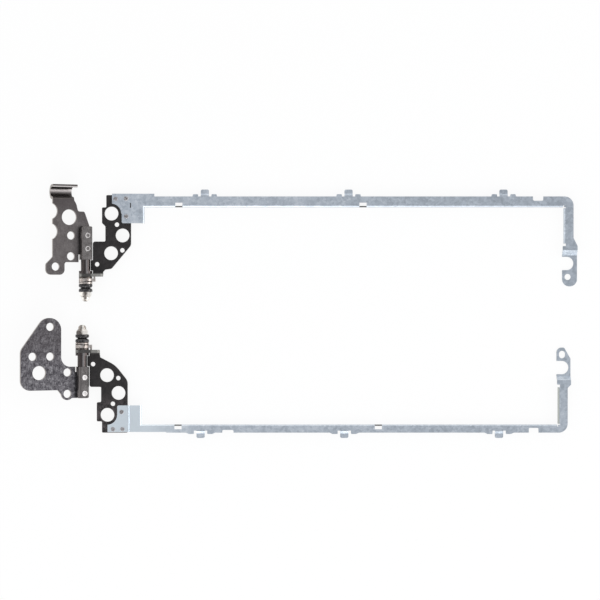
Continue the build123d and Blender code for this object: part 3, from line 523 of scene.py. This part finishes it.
def rivet_finish(name, tones, ring_highlight, roughness, ring_mask):
    """Headed metal: dents from the heading tool tone it, and a painted highlight brightens its ring where
    ring_mask says.
    """
    finish, tree, shader = new_finish(name)
    dents = grains(tree, spot_of(tree), dent_size, detail=2)
    colour = ramp(tree, dents, *zip((0.35, 0.62), tones))
    colour = tint(tree, ring_mask(tree), colour, ring_highlight)
    dress(tree, shader, colour, metallic=1.0, roughness=roughness)
    bump(tree, shader, dents, strength=0.4, depth=0.04 * MM)
    return finish


dull_rivet = rivet_finish(
    "dull_rivet",
    (rivet_dull_low, rivet_dull_high),
    rivet_dull_ring_highlight,
    roughness=0.36,
    ring_mask=lambda tree: head_ring(tree, "left_shaft_rivets"),
)
coat(dull_rivet, "left_shaft_rivets")
bright_rivet = rivet_finish(
    "bright_rivet",
    (rivet_bright_low, rivet_bright_high),
    rivet_bright_ring_highlight,
    roughness=0.32,
    ring_mask=lambda tree: head_ring(tree, "right_shaft_rivets"),
)
coat(bright_rivet, "right_shaft_rivets")

# Display brackets: stamped from thicker sheet and coated satin black, with one ear folded up
# for the shaft. The coating is thin, so it is faintly mottled and the ear's sheared edges are pale.
black_deep = (0.0065, 0.0052, 0.0054, 1)
black_soft = (0.0230, 0.0195, 0.0200, 1)
black_worn = (0.0700, 0.0580, 0.0610, 1)
black_edge = (0.36, 0.355, 0.335, 1)
shaft_reach = 2.2 * MM
ear_bare = max(left_axis[0], right_axis[0]) + shaft_reach
worn_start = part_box("right_display_bracket")[0].y + 18.0 * MM
worn_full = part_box("right_display_bracket")[0].y + 10.0 * MM
fold_width = 2.1 * MM
ear_rise = 0.9 * MM
rail_sheet = 0.6 * MM
plate_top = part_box("left_rail")[1].z - rail_sheet
ear_faces = (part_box("left_display_bracket")[0].y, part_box("right_display_bracket")[1].y)
ear_reach = (ear_faces[0] - ear_faces[1]) / 2

black_coating, tree, shader = new_finish("black_coating")
spot = axes_of(tree, spot_of(tree))
facing = axes_of(tree, facing_of(tree))
plating = place(tree, rubbed, patch=2.2 * MM, grain=0.5 * MM, streak=0.3)
colour = ramp(tree, plating.outputs["tone"], (0.34, black_deep), (0.66, black_soft))
thinned = between(tree, spot["Y"], worn_start, worn_full)
mottled = between(tree, plating.outputs["tone"], start=0.36, full=0.64)
colour = tint(tree, times(tree, thinned, mottled), colour, black_worn)
upright = between(tree, calculate(tree, "ABSOLUTE", facing["Z"]), start=0.6, full=0.4)
side_on = between(tree, calculate(tree, "ABSOLUTE", facing["X"]), start=0.4, full=0.6)
raised = above(tree, spot["Z"], plate_top + ear_rise)
crest = times(tree, raised, between(tree, facing["Z"], start=0.5, full=0.8))
past_shaft = between(tree, spot["X"], ear_bare, ear_bare + MM)
crest = times(tree, crest, spread(tree, past_shaft, low=0.15, high=1.0))
from_middle = calculate(tree, "ABSOLUTE", calculate(tree, "SUBTRACT", spot["Y"], middle_line))
in_fold = below(tree, from_middle, ear_reach + fold_width)
sheared = choose(tree, in_fold, upright, either(tree, side_on, crest))
sheared = times(tree, sheared, spread(tree, plating.outputs["fine"], low=0.4, high=1.0))
bare = either(tree, sheared, edge_wear_and_light(tree, width=0.10 * MM, strength=0.2))
colour = tint(tree, bare, colour, black_edge)
roughness = spread(tree, plating.outputs["fine"], low=0.34, high=0.56)
dress(tree, shader, colour, metallic=times(tree, bare, 0.9), roughness=roughness)
feed(tree, shader, "Specular IOR Level", 0.4)
bump(tree, shader, plating.outputs["fine"], strength=0.3, depth=0.02 * MM)
coat(black_coating, "left_display_bracket", "right_display_bracket")

# Friction washers: hardened steel discs that rub on each ear. They are dark,
# with an oily brown bloom and paler rims.
washer_dark = (0.050, 0.043, 0.040, 1)
washer_bloom = (0.19, 0.165, 0.150, 1)

friction_steel, tree, shader = new_finish("friction_steel")
bloom = grains(tree, spot_of(tree), size=0.9 * MM, detail=3)
colour = ramp(tree, bloom, (0.35, washer_dark), (0.7, washer_bloom))
colour = tint(tree, edge_wear_and_light(tree, width=0.12 * MM, strength=0.6), colour, plating_edge)
dress(tree, shader, colour, metallic=0.95, roughness=spread(tree, bloom, low=0.2, high=0.4))
coat(friction_steel, "left_friction_washer", "right_friction_washer")

# Tabbed and keyed washers: blanked from steel and nickel plated. The nickel is warm in tone,
# a little stained with oil, and bright on the rims with wear and a painted highlight. A painted shadow
# marks the slanting slit where the two washers meet.
nickel_low = (0.32, 0.275, 0.25, 1)
nickel_high = (0.62, 0.57, 0.535, 1)
nickel_rim_and_sheen = (0.80, 0.77, 0.74, 1)
slit_shadow = (0.030, 0.024, 0.022, 1)
slit_width = 0.16 * MM
slit_slant = 0.07


def washer_nickel(side, axis, joint_y, slant):
    """Stained nickel with a painted shadow along the dark, slanting slit where the two washers meet."""
    finish, tree, shader = new_finish(side + "_nickel")
    darkening_and_stain = grains(tree, spot_of(tree), size=1.3 * MM, detail=3)
    colour = ramp(tree, darkening_and_stain, (0.36, nickel_low), (0.60, nickel_high))
    colour = tint(tree, edge_wear_and_light(tree, width=0.12 * MM, strength=0.6), colour, nickel_rim_and_sheen)
    spot = axes_of(tree, spot_of(tree))
    slit_y = times(tree, calculate(tree, "SUBTRACT", spot["X"], axis[0]), slant)
    slit_y = calculate(tree, "ADD", slit_y, joint_y)
    from_slit = calculate(tree, "ABSOLUTE", calculate(tree, "SUBTRACT", spot["Y"], slit_y))
    slit_shadow_mask = between(tree, from_slit, start=1.4 * slit_width, full=0.8 * slit_width)
    on_disc = below(tree, spot["X"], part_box(side + "_keyed_washer")[1].x)
    colour = tint(tree, times(tree, slit_shadow_mask, on_disc), colour, slit_shadow)
    dress(tree, shader, colour, metallic=1.0, roughness=spread(tree, darkening_and_stain, low=0.26, high=0.42))
    coat(finish, side + "_tabbed_washer", side + "_keyed_washer")


washer_nickel("left", left_axis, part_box("left_keyed_washer")[1].y, slit_slant)
washer_nickel("right", right_axis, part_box("right_keyed_washer")[0].y, -slit_slant)

# Disc springs: pressed spring steel, blackened and oiled, stacked with their bores together.
# Only their rims are rubbed grey, and a painted highlight lies along them.
spring_black = (0.010, 0.0092, 0.0098, 1)
spring_film = (0.085, 0.082, 0.084, 1)
spring_rim_and_sheen = (0.27, 0.262, 0.26, 1)

spring_steel, tree, shader = new_finish("spring_steel")
film = grains(tree, spot_of(tree), size=0.6 * MM, detail=2)
colour = ramp(tree, film, (0.4, spring_black), (0.66, spring_film))
colour = tint(tree, edge_wear_and_light(tree, width=0.14 * MM, strength=0.9), colour, spring_rim_and_sheen)
dress(tree, shader, colour, metallic=0.6, roughness=spread(tree, film, low=0.16, high=0.34))
for side in ("left", "right"):
    coat(spring_steel, side + "_disc_spring_inner", side + "_disc_spring_outer")

# Nuts: machined hexagons, crowned at the outer end and plated in bright nickel,
# with faint tool marks across their flats and painted highlight and warm painted shade in bands across
# them from side to side.
nut_radius = 2.6 * MM
nut_shade = (0.13, 0.115, 0.105, 1)
nut_half_lit = (0.36, 0.325, 0.30, 1)
nut_highlight = (0.76, 0.73, 0.69, 1)
mark_stretch = (1, 2.5, 1)
blotch_strength = 0.3

bright_nickel, tree, shader = new_finish("bright_nickel")
marks = grains(tree, stretched(tree, spot_of(tree), mark_stretch), size=0.8 * MM, detail=3)
spot = axes_of(tree, spot_of(tree))
on_left = above(tree, spot["Y"], middle_line)
# Painted highlight and shade in bands across each nut, from its left side to its right; right_nut and
# left_nut hold this painted shading.
axis_x = choose(tree, on_left, right_axis[0], left_axis[0])
from_axis = calculate(tree, "SUBTRACT", spot["X"], axis_x)
to_right = halved(tree, calculate(tree, "DIVIDE", from_axis, nut_radius))
blotch = times(tree, calculate(tree, "SUBTRACT", marks, 0.5), blotch_strength)
to_right = calculate(tree, "ADD", to_right, blotch)
right_nut = ramp(tree, to_right, (0.10, nut_half_lit), (0.48, nut_shade), (0.60, nut_highlight), (0.90, nut_highlight))
left_nut = ramp(tree, to_right, (0.22, nut_highlight), (0.42, nut_shade), (0.58, nut_shade), (0.76, nut_highlight))
colour = tint(tree, on_left, right_nut, left_nut)
colour = tint(tree, edge_wear_and_light(tree, width=0.12 * MM, strength=0.4), colour, nickel_rim_and_sheen)
dress(tree, shader, colour, metallic=1.0, roughness=spread(tree, marks, low=0.12, high=0.28))
bump(tree, shader, marks, strength=0.2, depth=0.02 * MM)
coat(bright_nickel, "left_nut", "right_nut")

# Rails: thin galvanised sheet, sheared and folded down along the inner edge. The zinc has a fine
# bluish spangle of crystals, each with its own tone. Sheared edges are bare grey steel, and round the pads
# they carry a near-white painted highlight. The low sills are a darker grey, the right rail's joggle slope
# has painted shade, and the right rail's pad end is paler.
zinc_dull = (0.42, 0.465, 0.515, 1)
zinc_dark = (0.50, 0.55, 0.61, 1)
zinc_mid = (0.60, 0.655, 0.72, 1)
zinc_pale = (0.72, 0.765, 0.82, 1)
zinc_paler_end = (0.80, 0.87, 0.92, 1)
zinc_joggle_shade = (0.44, 0.49, 0.54, 1)
zinc_fold = (0.40, 0.42, 0.40, 1)
zinc_shear = (0.62, 0.64, 0.66, 1)
zinc_edge_highlight = (0.92, 0.93, 0.94, 1)
sill_dark_grey = (0.20, 0.195, 0.19, 1)
crystal_size = 1.1 * MM
bloom_size = 5.0 * MM
dust_size = 0.6 * MM
dust_share = 0.45
crystal_share = 0.25
left_dulling = 0.17
right_dulling = 0.10
dull_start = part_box("left_rail")[0].x + 20 * MM
dull_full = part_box("left_rail")[1].x
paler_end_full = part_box("right_rail")[0].x + 15 * MM
paler_end_fade = 26 * MM
pad_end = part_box("left_display_bracket")[1].x + 6 * MM
joggle_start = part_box("right_display_bracket")[1].x
joggle_end = joggle_start + 2.0 * MM
sill_low = 0.7 * MM
sill_high = 1.5 * MM

spangle, taken, given = new_group("zinc_spangle", ("crystal",), ("tone", "slope"))
spot = spot_of(spangle)
crystals = add(spangle, "TexVoronoi")
feed(spangle, crystals, "Vector", spot)
feed(spangle, crystals, "Scale", calculate(spangle, "DIVIDE", 1, taken.outputs["crystal"]))
each = add(spangle, "SeparateColor")
feed(spangle, each, 0, crystals.outputs["Color"])
bloom = grains(spangle, spot, bloom_size, detail=3)
dust = grains(spangle, spot, dust_size, detail=2)
tone = choose(spangle, dust_share, bloom, dust)
feed(spangle, given, "tone", choose(spangle, crystal_share, tone, each.outputs[0]))
feed(spangle, given, "slope", crystals.outputs["Distance"])

galvanised, tree, shader = new_finish("galvanised")
spot = axes_of(tree, spot_of(tree))
facing = axes_of(tree, facing_of(tree))
zinc = place(tree, spangle, crystal=crystal_size)
on_right = below(tree, spot["Y"], middle_line)
dull = between(tree, spot["X"], dull_start, dull_full)
dull = times(tree, dull, choose(tree, on_right, left_dulling, right_dulling))
tone = calculate(tree, "SUBTRACT", zinc.outputs["tone"], dull)
colour = ramp(tree, tone, (0.12, zinc_dull), (0.30, zinc_dark), (0.48, zinc_mid), (0.68, zinc_pale))
# The right rail is paler towards its pad end.
paler_end = between(tree, spot["X"], paler_end_full + paler_end_fade, paler_end_full)
colour = tint(tree, times(tree, paler_end, on_right), colour, zinc_paler_end)
# Painted shade: the slope of the right rail's joggle is darkened.
in_joggle = times(tree, within(tree, spot["X"], joggle_start, joggle_end), on_right)
bent = between(tree, facing["Z"], start=0.99, full=0.93)
joggle_slope = times(tree, bent, between(tree, facing["Z"], start=0.40, full=0.55))
colour = tint(tree, times(tree, in_joggle, joggle_slope), colour, zinc_joggle_shade)
folded = times(tree, between(tree, facing["X"], start=-0.15, full=-0.45), on_right)
folded = times(tree, folded, above(tree, spot["X"], pad_end))
colour = tint(tree, folded, colour, zinc_fold)
# Painted highlight: edges round the pads turn near white; other edges take the sheared tone.
edge_shear_and_highlight = tint(tree, below(tree, spot["X"], pad_end), zinc_shear, zinc_edge_highlight)
colour = tint(tree, edge_wear_and_light(tree, width=0.14 * MM, strength=0.8), colour, edge_shear_and_highlight)
# The low sills are painted a darker grey.
on_sill = within(tree, spot["Z"], sill_low, sill_high)
on_sill = times(tree, on_sill, between(tree, facing["Z"], start=0.9, full=0.98))
colour = tint(tree, on_sill, colour, sill_dark_grey)
roughness = spread(tree, zinc.outputs["tone"], low=0.24, high=0.42)
dress(tree, shader, colour, metallic=0.92, roughness=roughness)
bump(tree, shader, zinc.outputs["slope"], strength=0.15, depth=0.02 * MM)
coat(galvanised, "left_rail", "right_rail")

# Rail rivets: small steel rivets that clinch each rail's pad to its bracket,
# dull and brownish where the tool has bruised their heads, with a painted highlight round their rims.
clinch_low = (0.20, 0.185, 0.185, 1)
clinch_high = (0.52, 0.50, 0.51, 1)
clinch_ring_highlight = (0.66, 0.67, 0.70, 1)

clinch_rivet = rivet_finish(
    "clinch_rivet",
    (clinch_low, clinch_high),
    clinch_ring_highlight,
    roughness=0.42,
    ring_mask=lambda tree: edge_wear_and_light(tree, width=0.22 * MM, strength=0.8),
)
coat(clinch_rivet, "left_rail_rivets", "right_rail_rivets")

# Table: a wide white sheet that the pair lies on. It shows white to the camera and in the metal,
# and keeps a faint shadow of the pair.
table_half = 1.5
table_shadow = 0.10
white = (1, 1, 1, 1)
paper = (0.92, 0.92, 0.92, 1)

mesh = bpy.data.meshes.new("table")
steps = np.linspace(-table_half, table_half, 3)
across, down = np.meshgrid(steps, steps)
mesh.from_pydata(
    np.stack([across, down, np.zeros_like(across)], axis=-1).reshape(-1, 3).tolist(),
    [],
    [(0, 1, 4, 3), (1, 2, 5, 4), (3, 4, 7, 6), (4, 5, 8, 7)],
)
table = bpy.data.objects.new("table", mesh)
bpy.context.scene.collection.objects.link(table)
table_paper, tree, shader = new_finish("table_paper")
feed(tree, shader, "Base Color", paper)
feed(tree, shader, "Roughness", 0.9)
feed(tree, shader, "Specular IOR Level", 0.0)
glow = add(tree, "Emission")
feed(tree, glow, "Color", white)
seen = add(tree, "LightPath").outputs
shown = either(tree, seen["Is Camera Ray"], seen["Is Glossy Ray"])
shown = either(tree, shown, seen["Is Transmission Ray"])
mixed = add(tree, "MixShader")
feed(tree, mixed, 0, times(tree, shown, 1 - table_shadow))
feed(tree, mixed, 1, shader)
feed(tree, mixed, 2, glow)
feed(tree, tree.nodes["Material Output"], "Surface", mixed)
mesh.materials.append(table_paper)

# Light: a pale tent, dimmest overhead and brightest low down towards the front,
# with one softbox in front of the pair and a lower one to its right.
tent_low = (1.0, 1.0, 1.0, 1)
tent_side = (0.62, 0.62, 0.625, 1)
tent_top = (0.355, 0.365, 0.380, 1)
tent_strength = 1.54
front_gain = 1.25
back_gain = 0.85
front_spot = (-0.08, -0.72, 0.52)
front_size = 0.40
front_power = 1.3
right_spot = (0.78, -0.05, 0.30)
right_size = 0.30
right_power = 0.9

world = bpy.data.worlds.new("tent")
bpy.context.scene.world = world
world.use_nodes = True
tree = world.node_tree
direction = axes_of(tree, add(tree, "TexCoord").outputs["Generated"])
tent = ramp(tree, direction["Z"], (0.10, tent_low), (0.62, tent_side), (0.93, tent_top))
from_front = spread(tree, halved(tree, direction["Y"]), front_gain, back_gain)
feed(tree, tree.nodes["Background"], "Color", tent)
feed(tree, tree.nodes["Background"], "Strength", times(tree, from_front, tent_strength))


def add_softbox(name, spot, size, power):
    """A square lamp at a spot, turned towards the pair."""
    lamp = bpy.data.lights.new(name, "AREA")
    lamp.size = size
    lamp.energy = power
    softbox = bpy.data.objects.new(name, lamp)
    softbox.location = spot
    softbox.rotation_euler = (-softbox.location).to_track_quat("-Z", "Y").to_euler()
    bpy.context.scene.collection.objects.link(softbox)


add_softbox("front_softbox", front_spot, front_size, front_power)
add_softbox("right_softbox", right_spot, right_size, right_power)

# Camera: straight down on the pair, from the distance of a close-up lens. The left hinge's axis and
# the middle line between the hinges fall on the same places of the 600 pixel frame as in the photograph.
camera_height = 0.900
pixel = 0.445 * MM
frame_middle = 300
axis_pixel = 85.6
middle_pixel = 313.2

shrink = pixel * (1 - left_axis[2] / camera_height)
camera_data = bpy.data.cameras.new("camera")
camera_data.lens = camera_data.sensor_width * camera_height / (2 * frame_middle * pixel)
camera = bpy.data.objects.new("camera", camera_data)
camera.location = (
    left_axis[0] + (frame_middle - axis_pixel) * shrink,
    middle_line + (middle_pixel - frame_middle) * shrink,
    camera_height,
)
bpy.context.scene.collection.objects.link(camera)
bpy.context.scene.camera = camera
bpy.context.scene.view_settings.view_transform = "Standard"
